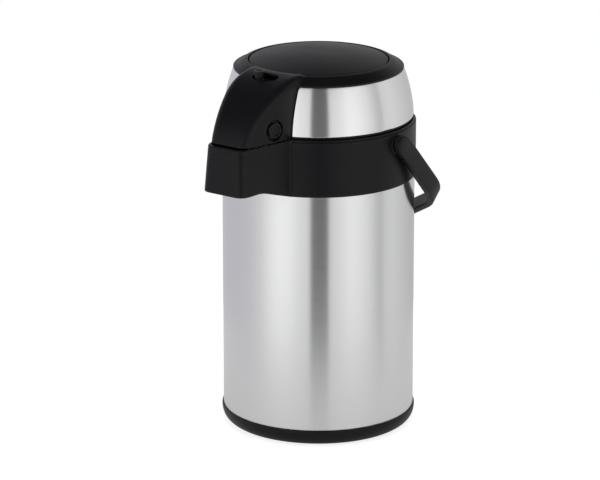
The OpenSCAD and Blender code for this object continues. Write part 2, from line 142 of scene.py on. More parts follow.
def rounded_corner(before, corner, after, steps):
    """The points that round one corner (x, y, radius) between its two neighbours."""
    p = np.array(corner[:2], float)
    a = np.array(before[:2], float) - p
    b = np.array(after[:2], float) - p
    u = a / np.linalg.norm(a)
    v = b / np.linalg.norm(b)
    half = math.acos(max(-1, min(1, float(u @ v)))) / 2
    if corner[2] <= 0 or half > math.radians(89.5):
        return [tuple(p)]
    reach = min(corner[2] / math.tan(half), 0.49 * np.linalg.norm(a), 0.49 * np.linalg.norm(b))
    radius = reach * math.tan(half)
    centre = p + (u + v) / np.linalg.norm(u + v) * radius / math.sin(half)
    first = p + u * reach - centre
    last = p + v * reach - centre
    a0 = math.atan2(first[1], first[0])
    sweep = (math.atan2(last[1], last[0]) - a0 + math.pi) % (2 * math.pi) - math.pi
    turns = [a0 + sweep * k / steps for k in range(steps + 1)]
    return [tuple(centre + radius * np.array((math.cos(turn), math.sin(turn)))) for turn in turns]


def rounded(corners, steps=4):
    """A closed outline whose corners are (x, y) or (x, y, radius)."""
    corners = [tuple(c) + (0,) * (3 - len(c)) for c in corners]
    count = len(corners)
    out = []
    for i, corner in enumerate(corners):
        out += rounded_corner(corners[i - 1], corner, corners[(i + 1) % count], steps)
    return out


def add_object(name, data):
    obj = bpy.data.objects.new(name, data)
    bpy.context.scene.collection.objects.link(obj)
    return obj


def object_from(name, points, faces):
    """A new object at the origin from points in millimetres."""
    mesh = bpy.data.meshes.new(name)
    mesh.from_pydata((np.asarray(points, float).reshape(-1, 3) * MM).tolist(), [], faces)
    return add_object(name, mesh)


@contextmanager
def edited(obj):
    """The piece's mesh, open for edits."""
    work = bmesh.new()
    work.from_mesh(obj.data)
    yield work
    work.to_mesh(obj.data)
    work.free()


def grid_faces(rows, cols, wrap_rows=False, wrap_cols=False):
    """Quads over a grid of points stored row by row."""
    faces = []
    for i in range(rows if wrap_rows else rows - 1):
        for j in range(cols if wrap_cols else cols - 1):
            i2 = (i + 1) % rows
            j2 = (j + 1) % cols
            faces.append((i * cols + j, i * cols + j2, i2 * cols + j2, i2 * cols + j))
    return faces


def close_up(obj, merge=0.004):
    """Merges doubles and turns every face outwards."""
    with edited(obj) as work:
        bmesh.ops.remove_doubles(work, verts=work.verts, dist=merge * MM)
        bmesh.ops.dissolve_degenerate(work, edges=work.edges, dist=merge * MM / 4)
        bmesh.ops.recalc_face_normals(work, faces=work.faces)
    return obj


def turn_outwards(skin):
    """Flips an open skin whose faces point to the axis."""
    if sum(face.normal.dot(face.center) for face in skin.data.polygons) < 0:
        skin.data.flip_normals()
    return skin


def lathe(name, outline, turns=160):
    """A closed outline of (radius, height) turned round the Z axis."""
    outline = np.array(outline, float)
    angle = np.arange(turns) * 2 * math.pi / turns
    points = np.stack([np.outer(np.cos(angle), outline[:, 0]), np.outer(np.sin(angle), outline[:, 0]),
                       np.tile(outline[:, 1], (turns, 1))], -1).reshape(-1, 3)
    return close_up(object_from(name, points, grid_faces(turns, len(outline), True, True)))


def prism(name, outline, z0, z1, bevel=0.0):
    """A closed outline of (x, y) made solid between two heights, with its edges rounded."""
    outline = np.array(outline, float)
    count = len(outline)
    points = np.concatenate([np.column_stack([outline, np.full(count, z0)]),
                             np.column_stack([outline, np.full(count, z1)])])
    faces = grid_faces(2, count, False, True) + [tuple(range(count)), tuple(range(count, 2 * count))]
    obj = close_up(object_from(name, points, faces))
    if bevel:
        bevel_edges(obj, bevel)
    return obj


def block(name, x0, x1, y0, y1, z0, z1, bevel=0.0):
    return prism(name, [(x0, y0), (x1, y0), (x1, y1), (x0, y1)], z0, z1, bevel)


def bevel_edges(obj, width, segments=3, angle=30):
    mod = obj.modifiers.new("bevel", "BEVEL")
    mod.width = width * MM
    mod.segments = segments
    mod.limit_method = "ANGLE"
    mod.angle_limit = math.radians(angle)
    settle(obj)


def settle(obj):
    """Applies the piece's modifiers to its mesh."""
    graph = bpy.context.evaluated_depsgraph_get()
    done = bpy.data.meshes.new_from_object(obj.evaluated_get(graph))
    obj.modifiers.clear()
    obj.data = done
    return obj


def thicken(obj, thickness):
    """Gives an open skin a wall on its inner side."""
    mod = obj.modifiers.new("wall", "SOLIDIFY")
    mod.thickness = thickness * MM
    mod.offset = -1
    mod.use_even_offset = False
    return settle(obj)


def carve(obj, tool, how="DIFFERENCE"):
    """Cuts a closed tool out of a piece, or joins it on with how="UNION"."""
    mod = obj.modifiers.new("carve", "BOOLEAN")
    mod.object = tool
    mod.operation = how
    mod.solver = "EXACT"
    settle(obj)
    bpy.data.objects.remove(tool)
    return obj


def cut_window(obj, lowest, highest):
    """Opens a window in a skin: the faces inside a box go, and its edges are cut straight."""
    margin = 12
    work = bmesh.new()
    work.from_mesh(obj.data)

    def faces_within(reach):
        return [f for f in work.faces if all(
            lowest[k] - reach < f.calc_center_median()[k] / MM < highest[k] + reach for k in range(3))]

    for axis in range(3):
        for limit in (lowest[axis], highest[axis]):
            face = Vector([float(k == axis) for k in range(3)])
            near = faces_within(margin)
            edges = list({e for f in near for e in f.edges})
            verts = list({v for f in near for v in f.verts})
            bmesh.ops.bisect_plane(work, geom=verts + edges + near, plane_co=face * limit * MM, plane_no=face)
    bmesh.ops.delete(work, geom=faces_within(0), context="FACES")
    work.to_mesh(obj.data)
    work.free()
    return obj


def place(obj, matrix):
    obj.data.transform(matrix)
    return obj


def shift(obj, x, y, z):
    return place(obj, Matrix.Translation(Vector((x, y, z)) * MM))


def along(direction, at=(0, 0, 0)):
    """Turns a piece built along Z to a direction and moves it to a point in millimetres."""
    turn = Vector(direction).to_track_quat("Z", "Y").to_matrix().to_4x4()
    return Matrix.Translation(Vector(at) * MM) @ turn


def mirror(obj):
    """Turns a piece over to the other side of the YZ plane."""
    obj.data.transform(Matrix.Scale(-1, 4, (1, 0, 0)))
    obj.data.flip_normals()
    return obj


def mirrored(obj, name):
    """A copy of a piece on the other side of the YZ plane."""
    return mirror(add_object(name, obj.data.copy()))


def join(name, parts):
    """Makes several pieces one object."""
    work = bmesh.new()
    for part in parts:
        work.from_mesh(part.data)
    mesh = bpy.data.meshes.new(name)
    work.to_mesh(mesh)
    work.free()
    for part in parts:
        bpy.data.objects.remove(part)
    return add_object(name, mesh)


def smooth(obj, angle=34):
    """Smooth shading that keeps edges sharper than the angle."""
    mesh = obj.data
    mesh.polygons.foreach_set("use_smooth", [True] * len(mesh.polygons))
    mesh.set_sharp_from_angle(angle=math.radians(angle))
    return obj


def coat(obj, finish, angle):
    """Gives a piece its finish and its shading."""
    obj.data.materials.clear()
    obj.data.materials.append(FINISHES[finish])
    smooth(obj, angle)


def fit(obj, finish, body, *nodes, angle=34):
    """Finishes a piece: its looks, the body it rides on and the nodes it stands for."""
    coat(obj, finish, angle)
    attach(obj, body)
    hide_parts(*nodes)
    return obj


def soft_max(a, b, k):
    """The larger of two fields, blended over the width k."""
    h = np.clip(0.5 + 0.5 * (a - b) / k, 0, 1)
    return b * (1 - h) + a * h + k * h * (1 - h)


def soft_min(a, b, k):
    return -soft_max(-a, -b, k)


def ease(t):
    t = np.clip(t, 0, 1)
    return t * t * (3 - 2 * t)


def reach_surface(field, start, direction, far, steps=40):
    """The point where a ray from inside a field leaves it, for whole arrays of rays."""
    near = np.zeros(direction.shape[:-1])
    end = np.full(direction.shape[:-1], float(far))
    for _ in range(steps):
        mid = (near + end) / 2
        inside = field(start + direction * mid[..., None]) < 0
        near = np.where(inside, mid, near)
        end = np.where(inside, end, mid)
    return start + direction * ((near + end) / 2)[..., None]


# ---- Shader groups shared by the materials ----
def connect(tree, source, socket):
    """Sets an input to a value, or links another node's output to it."""
    if isinstance(source, bpy.types.NodeSocket):
        tree.links.new(source, socket)
    else:
        socket.default_value = source


def feed(tree, target, **sources):
    """Sets a node's inputs by name, with _ for a space."""
    for name, source in sources.items():
        connect(tree, source, target.inputs[name.replace("_", " ")])


def node(tree, kind, *sources, **values):
    """A node with its settings, and its inputs in order or by name as in_Name."""
    made = tree.nodes.new(kind)
    for key, value in values.items():
        if key.startswith("in_"):
            feed(tree, made, **{key[3:]: value})
        else:
            setattr(made, key, value)
    for source, socket in zip(sources, made.inputs):
        connect(tree, source, socket)
    return made


def math_node(tree, operation, *values):
    return node(tree, "ShaderNodeMath", *values, operation=operation).outputs[0]


def times(tree, a, b):
    return math_node(tree, "MULTIPLY", a, b)


def map_range(tree, value, low_in, high_in, low_out=0.0, high_out=1.0):
    return node(tree, "ShaderNodeMapRange", value, low_in, high_in, low_out, high_out).outputs[0]


def noise(tree, vector, scale, detail=3.0, roughness=0.55):
    return node(tree, "ShaderNodeTexNoise", in_Vector=vector, in_Scale=scale, in_Detail=detail,
                in_Roughness=roughness).outputs["Fac"]


def new_group(name, sizes, outputs):
    """A shader group that takes a Vector and named sizes. Its Normal is a vector, the rest are values."""
    group = bpy.data.node_groups.new(name, "ShaderNodeTree")
    group.interface.new_socket("Vector", in_out="INPUT", socket_type="NodeSocketVector")
    for label, value in sizes.items():
        group.interface.new_socket(label, in_out="INPUT", socket_type="NodeSocketFloat").default_value = value
    for label in outputs:
        kind = "NodeSocketVector" if label == "Normal" else "NodeSocketFloat"
        group.interface.new_socket(label, in_out="OUTPUT", socket_type=kind)
    return group, group.nodes.new("NodeGroupInput").outputs, group.nodes.new("NodeGroupOutput")


def build_moulded_grain():
    """Spark-eroded grain of moulded plastic: a fine relief and a drifting gloss."""
    sizes = {"Grain Scale": 1500.0, "Grain Depth": 0.2, "Gloss Low": 0.34, "Gloss High": 0.46}
    group, given, out = new_group("moulded_grain", sizes, ["Normal", "Roughness", "Grain"])
    fine = noise(group, given["Vector"], given["Grain Scale"], 4.0, 0.6)
    broad = noise(group, given["Vector"], 22.0, 2.0, 0.5)
    bump = node(group, "ShaderNodeBump", in_Distance=0.00004, in_Strength=given["Grain Depth"],
                in_Height=fine)
    mixed = math_node(group, "ADD", times(group, fine, 0.55), times(group, broad, 0.45))
    rough = map_range(group, mixed, 0.3, 0.7, given["Gloss Low"], given["Gloss High"])
    feed(group, out, Normal=bump.outputs[0], Roughness=rough, Grain=fine)
    return group


def build_edge_wear():
    """A mask that rises on convex edges, broken up by noise, where hands rub the piece."""
    group, given, out = new_group("edge_wear", {"Reach": 0.04, "Patch Scale": 90.0}, ["Mask"])
    flat = 0.505
    bend = node(group, "ShaderNodeNewGeometry").outputs["Pointiness"]
    edge = map_range(group, bend, flat, math_node(group, "ADD", flat, given["Reach"]))
    cloud = noise(group, given["Vector"], given["Patch Scale"], 5.0, 0.65)
    feed(group, out, Mask=times(group, edge, map_range(group, cloud, 0.35, 0.65, 0.15)))
    return group


def build_brushed_lines():
    """Fine lines that run round the axis, as a belt leaves them on turned sheet."""
    sizes = {"Line Pitch": 6500.0, "Line Length": 6.0, "Line Depth": 0.03,
             "Gloss Low": 0.2, "Gloss High": 0.3}
    group, given, out = new_group("brushed_lines", sizes, ["Normal", "Roughness", "Lines"])
    x, y, z = node(group, "ShaderNodeSeparateXYZ", given["Vector"]).outputs
    radius = math_node(group, "SQRT", math_node(group, "ADD", times(group, x, x), times(group, y, y)))
    radius = math_node(group, "MAXIMUM", radius, 0.0001)
    turn_x = times(group, math_node(group, "DIVIDE", x, radius), given["Line Length"])
    turn_y = times(group, math_node(group, "DIVIDE", y, radius), given["Line Length"])
    height = times(group, z, given["Line Pitch"])
    run = node(group, "ShaderNodeCombineXYZ", turn_x, turn_y, height).outputs[0]
    slow_run = node(group, "ShaderNodeVectorMath", run, (0.35, 0.35, 0.11), operation="MULTIPLY").outputs[0]
    fine = times(group, noise(group, run, 1.0, 3.0, 0.7), 0.8)
    coarse = times(group, noise(group, slow_run, 1.0, 2.0, 0.5), 0.2)
    lines = math_node(group, "ADD", fine, coarse)
    bump = node(group, "ShaderNodeBump", in_Distance=0.00002, in_Strength=given["Line Depth"],
                in_Height=lines)
    rough = map_range(group, lines, 0.3, 0.7, given["Gloss Low"], given["Gloss High"])
    feed(group, out, Normal=bump.outputs[0], Roughness=rough, Lines=lines)
    return group


def build_dust():
    """A thin film that settles on faces that look up."""
    group, given, out = new_group("settled_dust", {"Amount": 0.05}, ["Mask"])
    normal = node(group, "ShaderNodeNewGeometry").outputs["Normal"]
    up = map_range(group, node(group, "ShaderNodeSeparateXYZ", normal).outputs[2], 0.2, 1.0)
    cloud = map_range(group, noise(group, given["Vector"], 60.0, 5.0, 0.7), 0.4, 0.75, 0.2)
    feed(group, out, Mask=times(group, times(group, up, cloud), given["Amount"]))
    return group


moulded_grain = build_moulded_grain()
edge_wear = build_edge_wear()
brushed_lines = build_brushed_lines()
settled_dust = build_dust()


# ---- Materials ----
def new_material(name):
    made = bpy.data.materials.new(name)
    made.use_nodes = True
    tree = made.node_tree
    return made, tree, tree.nodes["Principled BSDF"], node(tree, "ShaderNodeTexCoord").outputs["Object"]


def use_group(tree, group, coords, **values):
    return node(tree, "ShaderNodeGroup", node_tree=group, in_Vector=coords, **values).outputs


def tint(tree, mask, under, over, blend="MIX"):
    """The first colour where the mask is 0, and the second blended over it where the mask is 1."""
    mix = node(tree, "ShaderNodeMix", mask, data_type="RGBA", blend_type=blend)
    for socket, colour in zip(mix.inputs[6:8], (under, over)):
        connect(tree, colour + (1.0,) if isinstance(colour, tuple) else colour, socket)
    return mix.outputs[2]


def plastic(name, dark, light, worn, gloss, grain_scale, grain_depth, wear, dust):
    """Moulded plastic: mottled colour, grain, rubbed edges and a little dust."""
    made, tree, shader, coords = new_material(name)
    grain = use_group(tree, moulded_grain, coords, in_Grain_Scale=grain_scale, in_Grain_Depth=grain_depth,
                      in_Gloss_Low=gloss[0], in_Gloss_High=gloss[1])
    rub = use_group(tree, edge_wear, coords)["Mask"]
    film = use_group(tree, settled_dust, coords, in_Amount=dust)["Mask"]
    base = tint(tree, map_range(tree, grain["Grain"], 0.35, 0.65), dark, light)
    rubbed = tint(tree, times(tree, rub, wear), base, worn)
    feed(tree, shader, Base_Color=tint(tree, film, rubbed, (0.32, 0.31, 0.30)), Roughness=grain["Roughness"],
         Normal=grain["Normal"], Specular_IOR_Level=0.22, IOR=1.47)
    return made


def brushed(name, dark, light, gloss, depth, anisotropy):
    """Sheet steel brushed round the axis, with its shine stretched up and down."""
    made, tree, shader, coords = new_material(name)
    lines = use_group(tree, brushed_lines, coords, in_Line_Depth=depth,
                      in_Gloss_Low=gloss[0], in_Gloss_High=gloss[1])
    turn = node(tree, "ShaderNodeTangent", direction_type="RADIAL", axis="Z")
    feed(tree, shader, Base_Color=tint(tree, map_range(tree, lines["Lines"], 0.25, 0.75), dark, light),
         Roughness=lines["Roughness"], Normal=lines["Normal"], Metallic=1.0, Anisotropic=anisotropy,
         Anisotropic_Rotation=0.25, Tangent=turn.outputs[0])
    return made


def rough_metal(name, dark, light, gloss, scale):
    """Bare machined or drawn metal with faint marks."""
    made, tree, shader, coords = new_material(name)
    grain = use_group(tree, moulded_grain, coords, in_Grain_Scale=scale,
                      in_Gloss_Low=gloss[0], in_Gloss_High=gloss[1])
    base = tint(tree, map_range(tree, grain["Grain"], 0.3, 0.7), dark, light)
    rubbed = tint(tree, use_group(tree, edge_wear, coords)["Mask"], base, (0.85, 0.85, 0.86))
    feed(tree, shader, Base_Color=rubbed, Roughness=grain["Roughness"], Normal=grain["Normal"], Metallic=1.0)
    return made


# Dark, light and worn colour, range of roughness, grain scale and depth, wear and dust
PLASTICS = {
    "black_plastic": ((0.0040, 0.0043, 0.0054), (0.0062, 0.0066, 0.0082), (0.028, 0.028, 0.030), (0.34, 0.44),
                      1500.0, 0.25, 0.35, 0.004),
    "handle_plastic": ((0.0060, 0.0063, 0.0076), (0.0100, 0.0104, 0.0122), (0.045, 0.045, 0.047), (0.4, 0.52),
                       1100.0, 0.45, 0.45, 0.004),
    "button_plastic": ((0.0052, 0.0054, 0.0064), (0.0090, 0.0092, 0.0106), (0.05, 0.05, 0.052), (0.36, 0.47),
                       900.0, 0.7, 0.45, 0.012),
    "knob_plastic": ((0.0050, 0.0052, 0.0058), (0.0080, 0.0082, 0.0090), (0.06, 0.06, 0.062), (0.26, 0.36),
                     1400.0, 0.2, 0.8, 0.004),
    "white_plastic": ((0.55, 0.55, 0.53), (0.62, 0.62, 0.60), (0.72, 0.72, 0.70), (0.34, 0.46),
                      1500.0, 0.25, 0.35, 0.0),
    "rubber": ((0.020, 0.020, 0.021), (0.032, 0.032, 0.033), (0.07, 0.07, 0.07), (0.62, 0.8),
               700.0, 0.6, 0.35, 0.06),
    "silicone": ((0.50, 0.50, 0.47), (0.60, 0.60, 0.57), (0.68, 0.68, 0.66), (0.5, 0.62),
                 800.0, 0.3, 0.35, 0.03),
}
# Dark and light colour, range of roughness, depth of the lines, stretch of the shine
BRUSHED = {
    "brushed_shell": ((0.77, 0.775, 0.78), (0.84, 0.84, 0.84), (0.20, 0.28), 0.035, 0.88),
    "brushed_band": ((0.84, 0.84, 0.845), (0.90, 0.90, 0.90), (0.16, 0.24), 0.03, 0.85),
}
# Dark and light colour, range of roughness, scale of the marks
METALS = {
    "flask_steel": ((0.55, 0.55, 0.56), (0.68, 0.68, 0.69), (0.22, 0.36), 300.0),
    "screw_steel": ((0.50, 0.50, 0.51), (0.66, 0.66, 0.67), (0.24, 0.4), 900.0),
}
FINISHES = {name: plastic(name, *values) for name, values in PLASTICS.items()}
FINISHES.update({name: brushed(name, *values) for name, values in BRUSHED.items()})
FINISHES.update({name: rough_metal(name, *values) for name, values in METALS.items()})


def finish_frame_nodes():
    """Gives every CAD node the finish of its material slot."""
    for part in frame["record"]["subparts"]:
        coat(frame["nodes"][part["node"]], part["material_slot"], 30)


# ---- Geometry node trees: pieces round a circle, and a coil of wire ----
def new_tree(name, sizes):
    """A geometry tree that takes a piece, named sizes and a material."""
    tree = bpy.data.node_groups.new(name, "GeometryNodeTree")
    tree.interface.new_socket("Geometry", in_out="INPUT", socket_type="NodeSocketGeometry")
    for label, value in sizes.items():
        kind = "NodeSocketInt" if isinstance(value, int) else "NodeSocketFloat"
        tree.interface.new_socket(label, in_out="INPUT", socket_type=kind).default_value = value
    tree.interface.new_socket("Material", in_out="INPUT", socket_type="NodeSocketMaterial")
    tree.interface.new_socket("Geometry", in_out="OUTPUT", socket_type="NodeSocketGeometry")
    return tree, tree.nodes.new("NodeGroupInput").outputs


def end_tree(tree, given, geometry):
    """Every tree ends in real geometry with its material set."""
    real = node(tree, "GeometryNodeRealizeInstances", geometry)
    coated = node(tree, "GeometryNodeSetMaterial", in_Geometry=real.outputs[0], in_Material=given["Material"])
    node(tree, "NodeGroupOutput", coated.outputs[0])
    return tree


def build_round_the_axis():
    """Copies of the piece, evenly spaced round the Z axis and turned to face outwards."""
    tree, given = new_tree("round_the_axis", {"Count": 4, "Radius": 0.06, "Start": 0.0})
    circle = node(tree, "GeometryNodeMeshCircle", in_Vertices=given["Count"], in_Radius=given["Radius"])
    index = node(tree, "GeometryNodeInputIndex").outputs[0]
    step = math_node(tree, "DIVIDE", 2 * math.pi, given["Count"])
    turn = node(tree, "ShaderNodeCombineXYZ", in_Z=times(tree, index, step))
    copies = node(tree, "GeometryNodeInstanceOnPoints", in_Points=circle.outputs[0],
                  in_Instance=given["Geometry"], in_Rotation=turn.outputs[0])
    start = node(tree, "ShaderNodeCombineXYZ", in_Z=given["Start"])
    spin = node(tree, "GeometryNodeTransform", in_Geometry=copies.outputs[0], in_Rotation=start.outputs[0])
    return end_tree(tree, given, spin.outputs[0])


def build_coil():
    """A wire wound round the Z axis."""
    tree, given = new_tree("wire_coil", {"Turns": 6.0, "Radius": 0.024, "Height": 0.037, "Wire": 0.0009})
    spiral = node(tree, "GeometryNodeCurveSpiral", in_Resolution=40, in_Rotations=given["Turns"],
                  in_Start_Radius=given["Radius"], in_End_Radius=given["Radius"], in_Height=given["Height"])
    ring = node(tree, "GeometryNodeCurvePrimitiveCircle", in_Resolution=12, in_Radius=given["Wire"])
    wire = node(tree, "GeometryNodeCurveToMesh", in_Fill_Caps=True, in_Curve=spiral.outputs[0],
                in_Profile_Curve=ring.outputs[0])
    return end_tree(tree, given, wire.outputs[0])


round_the_axis = build_round_the_axis()
wire_coil = build_coil()


def grow(obj, tree, finish, **values):
    """Runs a geometry tree on a piece and keeps the mesh that it makes."""
    mod = obj.modifiers.new("grow", "NODES")
    mod.node_group = tree
    values["Material"] = FINISHES[finish]
    for item in tree.interface.items_tree:
        if item.in_out == "INPUT" and item.name in values:
            mod[item.identifier] = values[item.name]
    return settle(obj)


# ---- Base ----
def make_foot_ring():
    """The foot: a low bulging ring with a rounded rim under the shell, and four lugs inside."""
    belly = arc(0, 0, 1, -60, 0, 16)
    outline = [(72.8, 1.2)] + [(62 + 21.2 * x ** 0.55, 13 + 13.5 * z) for x, z in belly]
    outline += [(83.2, 14.3), (83.0, 14.8), (82.5, 15.0), (82.15, 14.9), (82.15, 12), (75, 12)]
    outline += [(75, 14.9), (72.8, 14.9)]
    lug = block("lug", 64, 72.9, -4, 4, 10.6, 14.9, 0.5)
    grow(lug, round_the_axis, "black_plastic", Count=4, Radius=0.0, Start=math.radians(45))
    ring = join("foot_ring_moulding", [lathe("foot", outline, 220), lug])
    return fit(ring, "black_plastic", "pot", "base_ring")


def make_turntable():
    plate = lathe("plate", rounded([
        (3.05, 4.2), (7.5, 4.2), (7.5, 2.5, 0.3), (69, 2.4, 0.6), (69, 5, 0.6), (9, 5, 0.5), (9, 7.5, 0.5),
        (3.05, 7.5, 0.3)]))
    rib = block("rib", 8, 58, -0.8, 0.8, 4.6, 6, 0.3)
    grow(rib, round_the_axis, "black_plastic", Count=12, Radius=0.0, Start=0.0)
    disc = join("turntable_plate", [plate, rib])
    return fit(disc, "black_plastic", "turntable", "turntable")


def make_base_pad():
    ribs = []
    for k in range(4):
        ribs += [(58.4 + 2 * k, 0.5), (58.8 + 2 * k, 0.0), (59.8 + 2 * k, 0.0), (60.2 + 2 * k, 0.5)]
    outline = ribs + [(66, 0.5, 0.0), (66, 2.4, 0.3), (58, 2.4, 0.3), (58, 0.5, 0.0)]
    return fit(lathe("non_slip_pad", rounded(outline)), "rubber", "turntable", "base_pad")


def make_screws(name, node_name, body, count, start):
    """Cross-head screws round the axis, with their heads down, for one node."""
    head_r = 2.8
    head_h = 1.6
    shank_r = 1.5
    face = low(node_name)[2]
    under_head = face + head_h
    tip = high(node_name)[2]
    outline = [(0, face), (head_r - 0.5, face), (head_r, face + 0.5), (head_r, under_head)]
    outline.append((shank_r, under_head))
    turns = int((tip - under_head) / 0.8)
    pitch = (tip - under_head) / turns
    for k in range(turns):
        for share, groove in ((0.2, 0.25), (0.5, 0), (0.8, 0.25)):
            outline.append((shank_r - groove, under_head + (k + share) * pitch))
    screw = lathe("screw", outline + [(0.6, tip), (0, tip)], 32)
    for x, y in ((2.0, 0.4), (0.4, 2.0)):
        carve(screw, block("cross", -x, x, -y, y, face, face + 0.9))
    screw.name = name
    grow(screw, round_the_axis, "screw_steel", Count=count, Radius=screw_circle * MM, Start=start)
    return fit(screw, "screw_steel", body, node_name, angle=40)


def make_all_screws():
    make_screws("base_cross_screws", "base_screws", "pot", 4, math.radians(45))
    make_screws("lid_cross_screws", "lid_screws", "lid", 6, 0.0)


# ---- Steel shell ----
def make_shell():
    sheet = 0.8
    outline = [(75.2, shell_low), (81.2, shell_low)]
    outline += arc(shell_r - 1.2, shell_low + 1.2, 1.2, -80, 0, 6)
    outline += [(shell_r, shell_low + 3 + 4 * k) for k in range(int((shell_high - shell_low - 4) / 4))]
    outline += [(shell_r, shell_high), (shell_r - sheet, shell_high), (shell_r - sheet, shell_low + sheet),
                (75.2, shell_low + sheet)]
    return fit(lathe("steel_body_shell", outline, 256), "brushed_shell", "pot", "steel_shell")


# ---- Collar with the spout housing ----
def spout_field(p, inset=0.0):
    """Distance-like field of the spout housing's plan, which widens and leans out downwards."""
    x = np.abs(p[..., 0])
    y = p[..., 1]
    lean = np.clip((collar_high - p[..., 2]) / (collar_high - spout_low), -0.2, 1.3)
    tip = tip_y - tip_lean * lean
    half = tip_half + tip_lean * lean
    run_x = crease[0] - half
    run_y = crease[1] - tip
    length = np.sqrt(run_x ** 2 + run_y ** 2)
    side = ((x - half) * run_y - (y - tip) * run_x) / length
    front = tip - y
    return np.maximum(soft_max(front, side, 9.0), y + 50) + inset


def collar_field(p):
    round_wall = np.sqrt(p[..., 0] ** 2 + p[..., 1] ** 2) - collar_r
    return soft_min(round_wall, spout_field(p), 1.4)


def wall_angles():
    """Angles from the spout, close together round the spout's corners and creases."""
    half = [0, 1.2, 2.4, 3.6, 4.6, 5.4, 6.1, 6.7, 7.3, 7.9, 8.5, 9.2] + list(range(10, 19))
    half += [18.8, 19.4, 19.9, 20.3, 20.7, 21.1, 21.6, 22.2, 23, 24, 25.2]
    half += list(np.linspace(26.5, 180, 104))
    return np.radians(np.array([-a for a in half[:0:-1]] + half[:-1]))


def lower_edge(y):
    """Height of the collar's lower edge: it rises under the spout."""
    rise = np.interp(-y, [-crease[1], -cusp_y, 132.0], [collar_low, spout_low, spout_low - 0.6])
    return np.where(-y < -crease[1], collar_low, rise)


def make_collar():
    angle = wall_angles()
    out = np.stack([np.sin(angle), -np.cos(angle), np.zeros_like(angle)], -1)
    probe = reach_surface(collar_field, np.array((0, 0, 236.0)), out, 150)
    foot = lower_edge(probe[:, 1])
    is_round = ease((np.abs(np.degrees(angle)) - 20.6) / 1.4)
    # rows of (share of the height, offset on the round wall and on the spout, inset on each)
    foot_round = ((0, 2.3), (0, 1.0), (0.12, 0.45), (0.45, 0.12), (1.0, 0))
    rows = [(0, z, z, inset, inset) for z, inset in foot_round]
    rows += [(t, 0.0, 0.0, 0, 0) for t in np.linspace(0.06, 0.88, 13)]
    rows += [(1, -2.5, -5.0, 0, 0), (1, -2.15, -4.2, 0.08, 0), (1, -2.0, -3.5, 0.35, 0)]
    rows += [(1, -1.98, -2.9, 1.1, 0), (1, -1.85, -2.3, 1.28, 0), (1, -1.2, -1.6, lip_step, 0)]
    rows += [(1, -0.5, -0.8, lip_step, 0), (1, -0.15, -0.25, lip_step + 0.15, 0.25)]
    rows += [(1, 0, 0, lip_step + 0.5, 0.8), (1, 0, 0, lip_step + 0.9, 3.6)]
    points = []
    for share, round_offset, spout_offset, inset_round, inset_spout in rows:
        z = foot + (collar_high - foot) * share + round_offset * is_round + spout_offset * (1 - is_round)
        start = np.stack([np.zeros_like(z), np.zeros_like(z), z], -1)
        hit = reach_surface(collar_field, start, out, 150)
        inset = inset_round * is_round + inset_spout * (1 - is_round)
        points.append(hit - out * inset[:, None])
    faces = grid_faces(len(rows), len(angle), False, True)
    skin = close_up(object_from("collar_skin", points, faces))
    turn_outwards(skin)
    cut_window(skin, (-hinge_gap, hinge_y - 14, hinge_z - 7), (hinge_gap, hinge_y + 14, hinge_z + 13))
    thicken(skin, wall - 0.4)

    deck = lathe("deck", rounded([
        (43.2, deck_z - 6, 0.3), (43.2, deck_z, 0.8), (81.6, deck_z), (81.6, deck_z + 2.5),
        (41, deck_z + 2.5, 0.8), (41, deck_z - 6, 0.3)]), 200)
    right_side = [(16.0, -126.0, 3), (26.6, -80.0, 3), (26, -76, 0)]
    web_plan = right_side + [(-x, y, r) for x, y, r in reversed(right_side)]
    web = prism("web", rounded(web_plan), deck_z - 8, deck_z - 5.8)
    bore = lathe("bore", [(0, -20), (6.2, -20), (6.2, 20), (0, 20)], 40)
    carve(web, place(bore, along((0, 0, 1), (0, nozzle_y, deck_z))))
    parts = [skin, deck, web]
    for sign in (-1, 1):
        boss = lathe("boss", rounded([(0, 0), (9, 0), (9, 3.2, 0.6), (0, 3.2)]), 64)
        parts.append(place(boss, along((sign, 0, 0), (sign * (collar_r - 2.5), 0, handle_z))))
        lug = lathe("lug", rounded([(1.6, 0, 0.3), (4.5, 0, 0.5), (4.5, 10, 0.5), (1.6, 10, 0.3)]), 48)
        parts.append(place(lug, along((1, 0, 0), (12 if sign > 0 else -22, hinge_y, hinge_z))))
        x0, x1 = (12, 22) if sign > 0 else (-22, -12)
        parts.append(block("support", x0, x1, 80.5, 89.8, 260, hinge_z - 1.5, 0.6))
    for part in parts[3:]:
        close_up(part)
    collar = join("collar_and_spout_moulding", parts)
    return fit(collar, "black_plastic", "pot", "collar", angle=40)


def make_pins():
    """Two headed pins that hold the handle."""
    outline = rounded([(0, -10.5), (4, -10.5, 0.4), (4, 0), (6.6, 0, 0.2), (6.6, 1.45, 0.15), (0, 1.5)])
    right = place(lathe("pin", outline, 64), along((1, 0, 0), (pin_x, 0, handle_z)))
    left = mirrored(right, "pin_left")
    pins = join("handle_pivot_pins", [right, left])
    return fit(pins, "black_plastic", "pot", "handle_pins")


def make_nozzle():
    outline = rounded([(3.8, 232), (4.9, 229, 0.3), (6, 229, 0.5), (6, 234, 0.5), (5, 234, 0.2),
                       (5, 254.9, 0.3), (3.8, 254.9)])
    nozzle = place(lathe("pouring_nozzle", outline, 64), along((0, 0, 1), (0, nozzle_y, 0)))
    return fit(nozzle, "white_plastic", "pot", "outlet_nozzle")


# ---- Bail handle ----
OUTER_SIDE = [(91.2, 0, 0), (91, 20, 0), (89.6, 80, 38), (19.5, 133, 55)]
INNER_SIDE = [(84.2, 0, 0), (84.2, 16, 0), (81.6, 79, 33), (17.5, 127.4, 50)]


